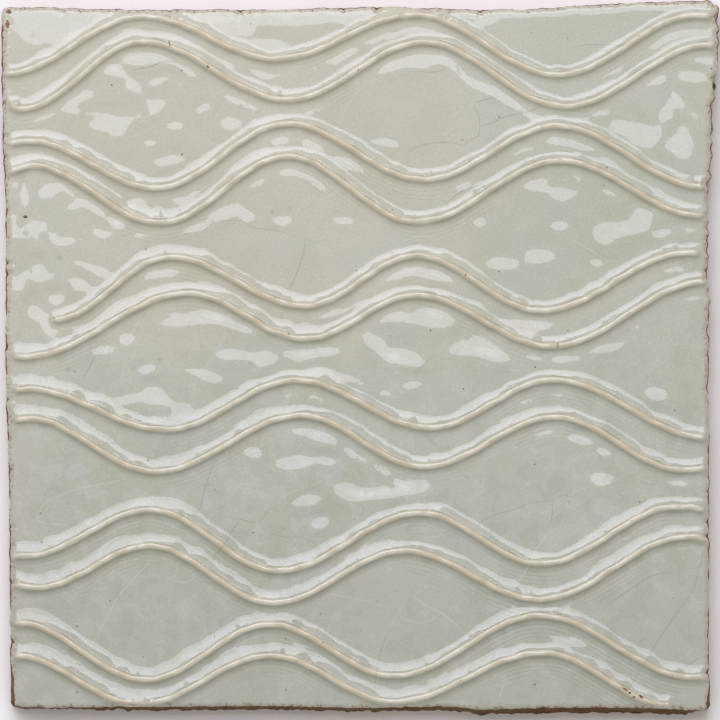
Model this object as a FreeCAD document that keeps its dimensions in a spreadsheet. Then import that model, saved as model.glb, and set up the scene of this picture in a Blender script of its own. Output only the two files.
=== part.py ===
import FreeCAD, Part
import math
import os
import Sketcher
from FreeCAD import Vector

# A hand-pressed, glazed wall tile lying on its flat back with the glazed face up.
# Six pairs of wavy ribs run across the face, and neighbouring pairs mirror each other,
# so that lens-shaped fields lie between them. The tile is fired as one piece.
# Millimetres. Origin at the middle of the back, +X across the face, +Y up the face.

# Driving dimensions, one spreadsheet row each.
SIZES = [
    ("top_width", 152.4),
    ("foot_width", 148.6),
    ("waist_width", 148.2),
    ("left_height", 149.2),
    ("right_height", 151.9),
    ("flare_start", 38.0),
    ("flare_end", 60.0),
    ("level_top", 38.0),
    ("thickness", 10.0),
    ("corner_round", 1.2),
    ("blunt_corner_round", 2.5),
    ("edge_round", 0.8),
    ("rib_width", 3.0),
    ("rib_height", 1.25),
    ("crest_width", 0.7),
    ("shoulder_width", 1.6),
    ("shoulder_drop", 0.3),
    ("rib_sink", 0.25),
    ("half_wave", 28.2),
    ("wave_swing", 11.6),
    ("turn_radius", 14.0),
    ("pair_gap", 7.1),
    ("pair_pitch", 25.8),
]

PAIRS = 6
TURNS = 6

# How far each turning point of a rib strays from the even wave, along and across it.
# The ribs were laid by hand, so no two run quite alike. One row a rib, from the top.
STRAY = [
    [(-4.9, -1.7), (-3.8, -1.1), (-3.7, 1.5), (-2.4, -0.8), (-0.2, -1.9), (1.1, -0.9)],
    [(-1.8, -2.1), (-4.0, 0.6), (-1.2, -0.1), (-0.5, 0.5), (1.3, -1.5), (3.5, -0.1)],
    [(0.4, -1.8), (-1.1, -0.2), (-1.2, 1.9), (-0.5, 1.6), (-0.4, 1.4), (2.6, 0.1)],
    [(0.8, 0.0), (-0.2, -0.5), (-1.4, 2.0), (-2.0, -0.2), (0.2, 1.1), (2.2, 1.0)],
    [(5.5, -2.4), (1.9, -0.7), (2.4, 0.6), (-2.2, -0.4), (-3.8, -0.4), (-0.8, 0.3)],
    [(-0.7, -3.1), (5.8, -1.3), (2.4, 0.7), (-2.2, -1.7), (-1.7, -0.9), (3.0, 1.2)],
    [(0.0, -2.9), (1.1, 0.1), (0.5, -1.0), (0.8, 0.5), (-1.3, -1.0), (3.5, -1.6)],
    [(0.0, -2.1), (-1.1, -1.7), (1.6, -1.4), (-0.7, -0.7), (-0.6, -1.8), (-1.9, -1.4)],
    [(-0.7, -1.0), (-2.3, -2.8), (-3.3, -4.1), (-1.3, -3.4), (-3.8, -2.6), (-3.1, -2.1)],
    [(2.1, -0.6), (-2.5, -3.4), (-4.4, -3.8), (-4.8, -4.4), (-4.0, -3.1), (-0.8, -1.4)],
    [(-2.2, -0.9), (-3.2, -1.5), (-5.0, -1.3), (-6.9, -0.7), (-4.0, 0.5), (0.5, -1.0)],
    [(-2.8, -0.9), (-4.5, 0.5), (-5.0, -0.9), (-6.9, 0.8), (-3.4, -0.3), (-4.4, 0.1)],
]

# How far each rib runs on past its first and its last turning point, to where its end
# begins to round off. Less than nothing means that it stops before it has turned.
RUN_ON = [
    (-1.3, 1.5),
    (0.2, 0.0),
    (3.0, -1.5),
    (3.4, -1.5),
    (-1.5, 0.6),
    (0.6, -1.5),
    (1.3, -2.0),
    (1.1, 3.4),
    (1.3, 4.2),
    (3.4, 2.1),
    (-0.9, 1.1),
    (-1.5, 0.0),
]
# The lowest rib is cut off square at its right end. Every other end is rounded.
SQUARE_ENDS = [(11, 1)]


def make_sheet(doc):
    sheet = doc.addObject("Spreadsheet::Sheet", "sizes")
    for row, (name, value) in enumerate(SIZES, start=1):
        sheet.set(f"A{row}", name)
        sheet.set(f"B{row}", str(value))
        sheet.setAlias(f"B{row}", name)
    doc.recompute()
    return sheet


def bind(sketch, constraint, name, expression):
    index = sketch.addConstraint(constraint)
    sketch.renameConstraint(index, name)
    sketch.setExpression(f"Constraints.{name}", expression)


def flat_sketch(body, name):
    sketch = body.newObject("Sketcher::SketchObject", name)
    plane = [f for f in body.Origin.OriginFeatures if f.Role == "XY_Plane"][0]
    sketch.AttachmentSupport = [(plane, "")]
    sketch.MapMode = "FlatFace"
    return sketch


def draw_ring(sketch, ring):
    for number, (x, y) in enumerate(ring):
        ahead = (number + 1) % len(ring)
        line = Part.LineSegment(Vector(x, y, 0), Vector(*ring[ahead], 0))
        sketch.addGeometry(line, False)
    for number in range(len(ring)):
        ahead = (number + 1) % len(ring)
        sketch.addConstraint(Sketcher.Constraint("Coincident", number, 2, ahead, 1))


def place(sheet, words):
    """The value of a cell, or of half a cell, with the sign in front of it."""
    value = sheet.get(words.strip("-").replace(" / 2", ""))
    if words.endswith("/ 2"):
        value = value / 2
    return -value if words.startswith("-") else value


def draw_outline(body, sheet):
    """The tile seen from above: its right edge flares near the top and its top edge rises."""
    sketch = flat_sketch(body, "outline")
    places = [
        ("-foot_width / 2", "-left_height / 2"),
        ("foot_width / 2", "-right_height / 2"),
        ("waist_width / 2", "flare_start"),
        ("top_width / 2", "flare_end"),
        ("top_width / 2", "right_height / 2"),
        ("level_top", "left_height / 2"),
        ("-top_width / 2", "left_height / 2"),
    ]
    corners = [(place(sheet, across), place(sheet, upward)) for across, upward in places]
    draw_ring(sketch, corners)
    for number, words in enumerate(places):
        for kind, word, value in zip(("DistanceX", "DistanceY"), words, corners[number]):
            ends = (-1, 1, number, 1) if value > 0 else (number, 1, -1, 1)
            bind(sketch, Sketcher.Constraint(kind, *ends, abs(value)), f"{kind}{number}",
                 f"sizes.{word.lstrip('-')}")
    return sketch


def upright_edges(slab, corners):
    """The slab's upright edges that stand nearest to the corners named."""
    names = []
    for corner in corners:
        gaps = []
        for number, edge in enumerate(slab.Shape.Edges, start=1):
            foot = edge.Vertexes[0].Point
            if edge.BoundBox.ZLength > slab.Shape.BoundBox.ZLength / 2:
                gaps.append((math.hypot(foot.x - corner[0], foot.y - corner[1]), number))
        names.append(f"Edge{min(gaps)[1]}")
    return names


def rim_edges(slab, height):
    names = []
    for number, edge in enumerate(slab.Shape.Edges, start=1):
        if math.isclose(edge.BoundBox.ZMin, height, abs_tol=1e-3):
            names.append(f"Edge{number}")
    return names


def round_edges(doc, body, name, base, edges, radius):
    fillet = body.newObject("PartDesign::Fillet", name)
    fillet.Base = (base, edges)
    fillet.setExpression("Radius", f"sizes.{radius}")
    doc.recompute()
    return fillet


def make_slab(doc, body, sheet):
    outline = draw_outline(body, sheet)
    doc.recompute()
    slab = body.newObject("PartDesign::Pad", "slab")
    slab.Profile = outline
    slab.setExpression("Length", "sizes.thickness")
    doc.recompute()
    top = sheet.get("top_width") / 2
    foot = sheet.get("foot_width") / 2
    left = sheet.get("left_height") / 2
    right = sheet.get("right_height") / 2
    blunt = upright_edges(slab, [(top, right)])
    slab = round_edges(doc, body, "blunt_corner", slab, blunt, "blunt_corner_round")
    crisp = upright_edges(slab, [(-top, left), (-foot, -left), (foot, -right)])
    slab = round_edges(doc, body, "corners", slab, crisp, "corner_round")
    rim = rim_edges(slab, sheet.get("thickness"))
    return round_edges(doc, body, "rim", slab, rim, "edge_round")


def turning_points(sheet, rib):
    """Where a rib turns: a pair mirrors its neighbours, and each turn strays a little."""
    pair, lower = divmod(rib, 2)
    middle = ((PAIRS - 1) / 2 - pair) * sheet.get("pair_pitch")
    middle += (0.5 - lower) * sheet.get("pair_gap")
    first_side = -1 if pair % 2 == 0 else 1
    points = []
    for turn, (along, across) in enumerate(STRAY[rib]):
        side = first_side * (-1) ** turn
        x = (turn - (TURNS - 1) / 2) * sheet.get("half_wave") + along
        y = middle + side * sheet.get("wave_swing") / 2 + across
        points.append((x, y, side))
    return points


def tangent_slope(start, end, radius):
    """How steeply the straight run between two turns falls, touching both their circles."""
    run = end[0] - start[0]
    rise = abs(end[1] - start[1]) - 2 * radius
    return math.atan2(rise, run) + math.asin(2 * radius / math.hypot(run, rise))


def rib_course(sheet, rib):
    """The centre line of a rib: an arc at every turn and straight runs between them."""
    turns = turning_points(sheet, rib)
    radius = sheet.get("turn_radius")
    slopes = [tangent_slope(start, end, radius) for start, end in zip(turns, turns[1:])]
    left, right = (length / radius for length in RUN_ON[rib])
    pieces = []
    joint = None
    for (x, y, side), before, after in zip(turns, [left] + slopes, slopes + [right]):
        centre = Vector(x, y - side * radius, 0)
        level = side * math.pi / 2
        ends = level + side * before, level - side * after
        circle = Part.Circle(centre, Vector(0, 0, 1), radius)
        bend = Part.ArcOfCircle(circle, min(ends), max(ends))
        entry, leave = (
            centre + Vector(radius * math.cos(angle), radius * math.sin(angle), 0) for angle in ends)
        if joint:
            pieces.append(Part.LineSegment(joint, entry))
        pieces.append(bend)
        joint = leave
    return pieces


def draw_course(body, sheet, rib):
    sketch = flat_sketch(body, f"course{rib + 1}")
    sketch.setExpression(".AttachmentOffset.Base.z", "sizes.thickness")
    sketch.addGeometry(rib_course(sheet, rib), False)
    return sketch


def section_halves(sheet):
    """The right side of a rib's section, from its root in the face up to its crest."""
    width = sheet.get("rib_width")
    height = sheet.get("rib_height")
    sink = sheet.get("rib_sink")
    shoulder = height - sheet.get("shoulder_drop")
    flare = (width - sheet.get("shoulder_width")) / (2 * shoulder) * sink
    return [(width / 2 + flare, -sink), (sheet.get("shoulder_width") / 2, shoulder),
            (sheet.get("crest_width") / 2, height)]


def course_end(course, end):
    """The edge that the left (0) or right (1) end of a course is on, and which end of it."""
    spots = []
    for number, edge in enumerate(course.Shape.Edges, start=1):
        spots.append((edge.valueAt(edge.FirstParameter).x, number, 0.0))
        spots.append((edge.valueAt(edge.LastParameter).x, number, 1.0))
    return (max(spots) if end else min(spots))[1:]


def section_sketch(body, name, course, end):
    number, along = course_end(course, end)
    sketch = body.newObject("Sketcher::SketchObject", name)
    sketch.AttachmentSupport = [(course, f"Edge{number}")]
    sketch.MapMode = "NormalToEdge"
    sketch.MapPathParameter = along
    return sketch


def bind_heights(sketch, sheet, crest, shoulder, root):
    bind(sketch, Sketcher.Constraint("DistanceY", -1, 1, crest, 1, sheet.get("rib_height")),
         "height", "sizes.rib_height")
    bind(sketch, Sketcher.Constraint("DistanceY", shoulder, 1, crest, 1,
                                     sheet.get("shoulder_drop")), "drop", "sizes.shoulder_drop")
    bind(sketch, Sketcher.Constraint("DistanceY", root, 1, -1, 1, sheet.get("rib_sink")),
         "sink", "sizes.rib_sink")


def draw_section(body, sheet, course, rib):
    """A rib's section: a narrow flat crest, sloping shoulders and steep flanks."""
    sketch = section_sketch(body, f"section{rib + 1}", course, 0)
    halves = section_halves(sheet)
    ring = halves + [(-x, y) for x, y in reversed(halves)]
    draw_ring(sketch, ring)
    for number in range(len(halves)):
        opposite = len(ring) - 1 - number
        sketch.addConstraint(Sketcher.Constraint("Symmetric", opposite, 1, number, 1, -2))
    half = sheet.get("rib_width") / 2
    face = sketch.addGeometry(Part.LineSegment(Vector(-half, 0, 0), Vector(half, 0, 0)), True)
    sketch.addConstraint([
        Sketcher.Constraint("Symmetric", face, 1, face, 2, -2),
        Sketcher.Constraint("PointOnObject", face, 1, -1),
        Sketcher.Constraint("PointOnObject", face, 2, 0),
    ])
    bind(sketch, Sketcher.Constraint("DistanceX", face, 1, face, 2, 2 * half), "width",
         "sizes.rib_width")
    bind(sketch, Sketcher.Constraint("DistanceX", 4, 1, 1, 1, 2 * halves[1][0]), "shoulders",
         "sizes.shoulder_width")
    bind(sketch, Sketcher.Constraint("DistanceX", 3, 1, 2, 1, 2 * halves[2][0]), "crest",
         "sizes.crest_width")
    bind_heights(sketch, sheet, 2, 1, 0)
    return sketch


def draw_half_section(body, sheet, course, rib, end):
    """Half of the rib's section, standing on the rib's own end and ready to be turned."""
    sketch = section_sketch(body, f"end{rib + 1}_{end + 1}", course, end)
    halves = section_halves(sheet)
    ring = halves + [(0, halves[2][1]), (0, halves[0][1])]
    draw_ring(sketch, ring)
    half = sheet.get("rib_width") / 2
    face = sketch.addGeometry(Part.LineSegment(Vector(0, 0, 0), Vector(half, 0, 0)), True)
    sketch.addConstraint([
        Sketcher.Constraint("Vertical", 3),
        Sketcher.Constraint("Horizontal", 2),
        Sketcher.Constraint("Horizontal", 4),
        Sketcher.Constraint("PointOnObject", 3, 1, -2),
        Sketcher.Constraint("Coincident", face, 1, -1, 1),
        Sketcher.Constraint("Horizontal", face),
        Sketcher.Constraint("PointOnObject", face, 2, 0),
    ])
    bind(sketch, Sketcher.Constraint("DistanceX", face, 1, face, 2, half), "width",
         "sizes.rib_width / 2")
    bind(sketch, Sketcher.Constraint("DistanceX", -1, 1, 1, 1, halves[1][0]), "shoulders",
         "sizes.shoulder_width / 2")
    bind(sketch, Sketcher.Constraint("DistanceX", -1, 1, 2, 1, halves[2][0]), "crest",
         "sizes.crest_width / 2")
    bind_heights(sketch, sheet, 2, 1, 0)
    return sketch


def round_end(doc, body, sheet, course, rib, end):
    """Turn the half section through half a turn, outwards from the rib's end."""
    half = draw_half_section(body, sheet, course, rib, end)
    doc.recompute()
    cap = body.newObject("PartDesign::Revolution", f"cap{rib + 1}_{end + 1}")
    cap.Profile = half
    cap.ReferenceAxis = (half, ["V_Axis"])
    cap.Angle = 180
    cap.Reversed = half.MapPathParameter == 0
    doc.recompute()
    return cap


def roll_rib(doc, sheet, rib):
    """One rib as the potter rolls it, before it is pressed onto the slab."""
    body = doc.addObject("PartDesign::Body", f"rib_{rib + 1}")
    course = draw_course(body, sheet, rib)
    doc.recompute()
    section = draw_section(body, sheet, course, rib)
    doc.recompute()
    pipe = body.newObject("PartDesign::AdditivePipe", f"run{rib + 1}")
    pipe.Profile = section
    pipe.Spine = (course, [f"Edge{n + 1}" for n in range(len(course.Shape.Edges))])
    pipe.Mode = "Binormal"
    pipe.Binormal = Vector(0, 0, 1)
    doc.recompute()
    for end in (0, 1):
        if (rib, end) not in SQUARE_ENDS:
            before = body.Tip.Shape.Volume
            body.Tip = round_end(doc, body, sheet, course, rib, end)
            if body.Tip.Shape.Volume < before + sheet.get("rib_height") ** 3:
                raise SystemExit(f"rib {rib + 1} has no rounded end {end + 1}")
    return body


def check(doc):
    for item in doc.Objects:
        if "Invalid" in item.State or "Error" in item.State:
            raise SystemExit(f"{item.Name} is not built: {item.State}")
        if item.isDerivedFrom("PartDesign::Feature") or item.isDerivedFrom("PartDesign::Body"):
            if item.Shape.isNull() or not item.Shape.isValid():
                raise SystemExit(f"{item.Name} has no sound shape")


def main():
    os.makedirs("parts", exist_ok=True)
    doc = FreeCAD.newDocument("ribbed_tile")
    sheet = make_sheet(doc)
    body = doc.addObject("PartDesign::Body", "tile")
    body.Label = "tile"
    body.Placement = FreeCAD.Placement()
    slab = make_slab(doc, body, sheet)
    slab_volume = slab.Shape.Volume
    ribs = [roll_rib(doc, sheet, rib) for rib in range(2 * PAIRS)]
    join = body.newObject("PartDesign::Boolean", "ribs")
    join.Type = "Fuse"
    join.setObjects(ribs)
    doc.recompute()
    body.Tip = join
    doc.recompute()
    if len(body.Shape.Solids) != 1 or body.Shape.Volume <= slab_volume:
        raise SystemExit("the ribs did not join the slab")
    check(doc)
    body.Shape.exportStep("parts/tile.step")
    print("tile", round(body.Shape.Volume), "mm3", body.Shape.BoundBox)


main()
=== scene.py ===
import math
import bpy
import numpy as np
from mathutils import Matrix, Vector
from mathutils.geometry import delaunay_2d_cdt


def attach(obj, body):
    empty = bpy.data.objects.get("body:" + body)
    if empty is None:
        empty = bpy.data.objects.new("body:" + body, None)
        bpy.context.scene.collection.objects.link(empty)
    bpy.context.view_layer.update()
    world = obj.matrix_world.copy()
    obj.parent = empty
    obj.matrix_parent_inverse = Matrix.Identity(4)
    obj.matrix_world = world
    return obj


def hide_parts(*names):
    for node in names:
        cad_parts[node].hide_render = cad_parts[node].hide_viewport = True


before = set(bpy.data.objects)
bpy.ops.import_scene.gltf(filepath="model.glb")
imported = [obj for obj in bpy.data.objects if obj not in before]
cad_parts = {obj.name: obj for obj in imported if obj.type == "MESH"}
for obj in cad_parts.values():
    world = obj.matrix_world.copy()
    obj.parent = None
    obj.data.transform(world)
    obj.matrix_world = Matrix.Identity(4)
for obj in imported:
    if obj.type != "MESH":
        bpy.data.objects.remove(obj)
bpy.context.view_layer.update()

rng = np.random.default_rng(20)

# The glazed tile as one closed skin. Plan sizes are in millimetres here and become metres
# when the mesh is made. The face is a height over the plan: twelve hand-laid ribs, the glaze
# pooled against them, a slightly uneven field and a rim that rolls over to bare clay.
MM = 0.001
FACE = 10.0

# Where each rib turns, from left to right and from the top rib down, and its two ends.
RIB_TURNS = [
    [(-75.4, 60.56), (-46.1, 72.78), (-17.8, 63.75), (11.7, 73.1), (42.1, 60.35), (71.6, 72.99)],
    [(-72.2, 53.02), (-46.3, 67.36), (-15.3, 55.04), (13.6, 67.26), (43.6, 53.66), (74.0, 66.66)],
    [(-70.1, 46.22), (-43.4, 36.27), (-15.3, 49.94), (13.6, 38.08), (41.9, 49.47), (73.1, 36.55)],
    [(-69.7, 40.97), (-42.5, 28.9), (-15.5, 42.97), (12.1, 29.11), (42.5, 42.07), (72.7, 30.39)],
    [(-65.0, 8.29), (-40.4, 21.59), (-11.7, 11.22), (11.9, 21.85), (38.5, 10.2), (69.7, 22.52)],
    [(-71.2, 0.42), (-36.5, 13.9), (-11.7, 4.25), (11.9, 13.47), (40.6, 2.66), (73.5, 16.36)],
    [(-70.5, -6.46), (-41.2, -15.09), (-13.6, -4.57), (14.9, -14.66), (41.0, -4.5), (74.0, -16.79)],
    [(-70.5, -12.71), (-43.4, -23.97), (-12.5, -12.07), (13.4, -22.93), (41.6, -12.43),
     (68.6, -23.63)],
    [(-71.2, -41.95), (-44.6, -32.15), (-17.4, -45.05), (12.8, -32.79), (38.5, -43.56),
     (67.4, -31.49)],
    [(-68.4, -48.62), (-44.8, -39.8), (-18.5, -51.89), (9.3, -40.86), (38.2, -51.13),
     (69.7, -37.87)],
    [(-72.7, -56.1), (-45.5, -68.21), (-19.1, -56.48), (7.2, -67.41), (38.2, -54.61),
     (71.0, -67.72)],
    [(-73.3, -63.11), (-46.8, -73.4), (-19.1, -63.11), (7.2, -72.9), (38.9, -62.52),
     (66.1, -73.74)],
]
RIB_ENDS = [
    ((-75.4, 60.56), (74.6, 72.67)),
    ((-74.0, 53.98), (75.6, 66.51)),
    ((-74.6, 45.69), (73.1, 36.55)),
    ((-74.6, 39.52), (72.7, 30.39)),
    ((-65.0, 8.29), (71.8, 22.31)),
    ((-73.3, 0.42), (73.5, 16.36)),
    ((-73.3, -6.59), (73.6, -16.79)),
    ((-73.1, -12.96), (73.5, -23.16)),
    ((-74.0, -41.8), (73.1, -32.09)),
    ((-73.3, -47.92), (73.3, -38.46)),
    ((-73.3, -56.1), (73.5, -67.66)),
    ((-73.3, -63.11), (66.1, -73.74)),
]

# The tile's outline, anticlockwise from the lower left corner.
FOOT = [(-74.3, -74.4), (-70.1, -74.6), (-44.6, -75.0), (-19.1, -74.8), (0.0, -75.2),
        (19.1, -75.0), (25.5, -75.8), (44.6, -75.5), (57.4, -75.5), (69.5, -75.9), (71.3, -75.1),
        (74.5, -75.0)]
RIGHT = [(74.4, -70.6), (74.1, -64.2), (74.2, -45.0), (74.2, -13.2), (73.9, -6.8), (74.2, -0.4),
         (74.0, 6.0), (74.3, 12.3), (73.8, 18.7), (74.0, 25.0), (73.8, 31.5), (74.1, 37.8),
         (74.9, 44.2), (74.7, 50.6), (75.3, 57.0), (76.1, 63.3), (76.2, 69.7), (76.2, 75.9)]
TOP = [(70.1, 75.9), (57.4, 75.5), (44.6, 74.8), (38.2, 74.2), (25.5, 74.0), (12.8, 74.4),
       (6.4, 74.7), (-6.4, 74.4), (-19.1, 74.0), (-31.9, 74.1), (-44.6, 74.0), (-57.4, 74.2),
       (-70.1, 74.6), (-76.2, 74.4)]
LEFT = [(-76.2, 69.7), (-76.2, 63.3), (-76.1, 57.0), (-75.9, 50.6), (-76.0, 44.2), (-75.5, 37.8),
        (-75.3, 31.5), (-75.3, 12.3), (-75.4, -0.4), (-75.1, -13.0), (-74.8, -19.6), (-74.6, -26.0),
        (-74.5, -45.0), (-74.3, -64.2)]
SIDES = (("foot", FOOT), ("right", RIGHT), ("top", TOP), ("left", LEFT))
# The rounds of the corners, anticlockwise from the lower left one.
CORNER_ROUNDS = (1.1, 1.7, 2.5, 1.2)
CORNER_STEPS = 7

# How the rim is made on each side: how far the glaze reaches past the edge (less than nothing
# where it stops short), how unsteady that is, how far the bare clay falls outside it, the
# round of the glaze, and the drop and width of the gentle roll inside that.
RIM = {
    "foot": (-1.00, 0.05, 3.6, 0.8, 0.05, 2.0),
    "right": (-0.16, 0.07, 0.7, 1.0, 0.05, 2.0),
    "top": (-0.12, 0.06, 0.6, 0.9, 0.32, 3.6),
    "left": (-0.24, 0.08, 0.7, 1.5, 0.06, 2.5),
}

# Places where the face leans toward the light: middle, half length, half width and turn.
LEANS = [
    (-58.5, 54.5, 5, 1.8, 21), (-57, 50.5, 3.2, 1.6, 10), (-51.5, 49, 3.6, 2, -30),
    (-44.5, 53, 3.7, 1.3, 37), (-41, 58, 3.2, 1.4, -13), (-49, 58.5, 2.8, 1.2, -53),
    (-52.5, 61, 2, 0.9, 3), (-33, 53, 1.6, 1, 7), (-28, 49.5, 2.3, 1.2, 11),
    (-39.5, 49.3, 1.4, 0.9, 0), (-40, 42, 3, 0.9, 10), (-44.5, 45.5, 1.3, 0.7, 0),
    (-51, 44.5, 1.5, 0.7, 0), (-68.5, 52, 2.4, 1, 0), (-38, 33.5, 1.2, 0.6, 0),
    (-45, 64, 6.4, 1.3, 3), (-18, 66.5, 1.8, 0.6, -10), (-1, 41, 4, 1, -30),
    (13, 63.2, 8.5, 1.1, 9), (28, 57, 5.7, 0.8, -38), (9, 36.5, 2, 0.8, -7),
    (5, 46, 2.2, 0.8, -29), (45.5, 45.5, 3.5, 0.8, -24), (51, 52.3, 2.1, 0.7, 9),
    (60.5, 47, 5.7, 2.1, -31), (69, 46.5, 3.7, 2.3, 90), (65.2, 52, 3.4, 1.4, 74),
    (68.8, 53.8, 3, 1.4, -62), (70.5, 59.5, 2, 1.2, 0), (38, 36.5, 2, 1, 30), (43, 35, 3, 1.2, 5),
    (54, 26.5, 4.2, 1.8, -5), (58.5, 29, 3.2, 1.9, 35), (64.5, 31.5, 4.5, 0.9, -14),
    (63.5, 26.5, 2.2, 0.8, 4), (42.5, 28, 1.8, 1.1, 25), (38.5, 21.5, 2.8, 1.3, 0),
    (30, 20, 2.8, 1.2, -5), (50.2, 20.2, 1.4, 0.9, 18), (25.5, 29, 1.1, 0.8, 0),
    (-3.5, 29, 1.7, 0.8, -17), (-16.3, 29.3, 1.4, 0.8, 0), (-24, 30, 1.6, 1.3, -40),
    (-28.5, 31, 3.4, 1.1, 33), (-35, 27.5, 3, 0.8, 13), (-53.5, 27, 3, 1.6, 20),
    (-50.5, 30, 2.4, 1.2, 60), (-58, 33, 4.8, 0.9, -40), (-67, 34.5, 1.6, 1.2, 60),
    (-71.5, 33.5, 2, 1.2, 90), (-61, 32.5, 1.4, 0.8, 0), (-70.6, 27.6, 4.2, 2.3, -12),
    (-64.5, 25, 1.8, 1.1, -5), (-66.6, 22.4, 1.6, 1.1, -60), (-69.4, 17.2, 4.2, 2, 40),
    (-59.5, 15.5, 2.5, 1.3, -30), (-57, 19, 3.1, 1.1, -38), (-61.5, 24.5, 1.4, 1, 0),
    (-65, 12.5, 1.9, 1.2, 20), (-67, 7.5, 3.6, 1.5, -65), (-62, 7, 2, 0.8, 20),
    (-44, 18, 3.1, 1, 17), (16.5, 17.8, 4.9, 1.2, -24), (9, 18, 2.6, 1, 22),
    (-6, 9.5, 2.7, 0.7, 20), (36, 7.5, 5, 1.2, -5), (-36, 8.3, 5, 1.2, 12),
    (-26, 7.3, 4.5, 1, -22), (17, 8.5, 4.4, 1.9, -6), (9, 8.7, 2.7, 1.1, -18),
    (4.5, 2.5, 3.2, 1.8, -55), (9, -0.5, 3.8, 1.6, 0), (25.5, 2.5, 5.9, 2.2, 5),
    (28.5, 0.5, 3, 1.2, -35), (10, -5.2, 3, 1.2, -11), (5.5, -7.5, 1.5, 0.9, -43),
    (-27, 0.6, 3.7, 1.2, 6), (-20.5, -0.2, 2.5, 1.5, 12), (-13, 0.8, 2.2, 0.9, 0),
    (-8, 1.2, 2.4, 0.9, 7), (-50, 4, 1.6, 1.1, 5), (-54, 1.7, 1.6, 0.9, 36),
    (-32.5, -3.6, 3.2, 1, -24), (-45.5, -2.3, 1.4, 0.9, 40), (-43.5, -7.8, 3, 1.6, 20),
    (-38.5, -11, 3, 1.6, -20), (-50, -9, 2.3, 1, 21), (-4.5, -3.7, 3.9, 0.6, -24),
    (53, 2.5, 3, 0.9, 22), (43.5, 0, 3.1, 0.8, 1), (63, -7.5, 2, 1.2, 7), (37, 0.3, 1.4, 0.7, 0),
    (-8, -16.8, 4.9, 1.1, -20), (-13.5, -22.2, 4, 1.4, 9), (-7, -21.6, 1.9, 0.8, -10),
    (-22, -20.5, 1.8, 1, -17), (-1.8, -28.5, 3.4, 1.4, -10), (4.5, -29, 3.4, 1.3, 10),
    (10, -27.5, 4.4, 1.4, 5), (6, -24.8, 2.4, 1, -50), (-11.5, -30.4, 2.2, 0.9, 19),
    (-8.2, -35, 2, 1.2, 20), (-2, -20.5, 2.4, 0.8, -30), (51.5, -25.5, 2.1, 1.3, 14),
    (46.5, -17.5, 2.3, 0.9, -21), (51.3, -20, 1.6, 0.7, -25), (67.5, -26.5, 2, 0.7, 0),
    (45, -60.5, 3, 0.6, -18), (-28, 72, 9, 1.8, 0), (-24, 68.5, 7, 1.8, -22),
    (-66, 69.5, 6, 2.8, 20), (26.5, 71.5, 2.2, 0.9, -7), (-60.5, 70, 3.5, 0.8, 34),
    (-71, 34.8, 2, 1, 90),
]

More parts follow.
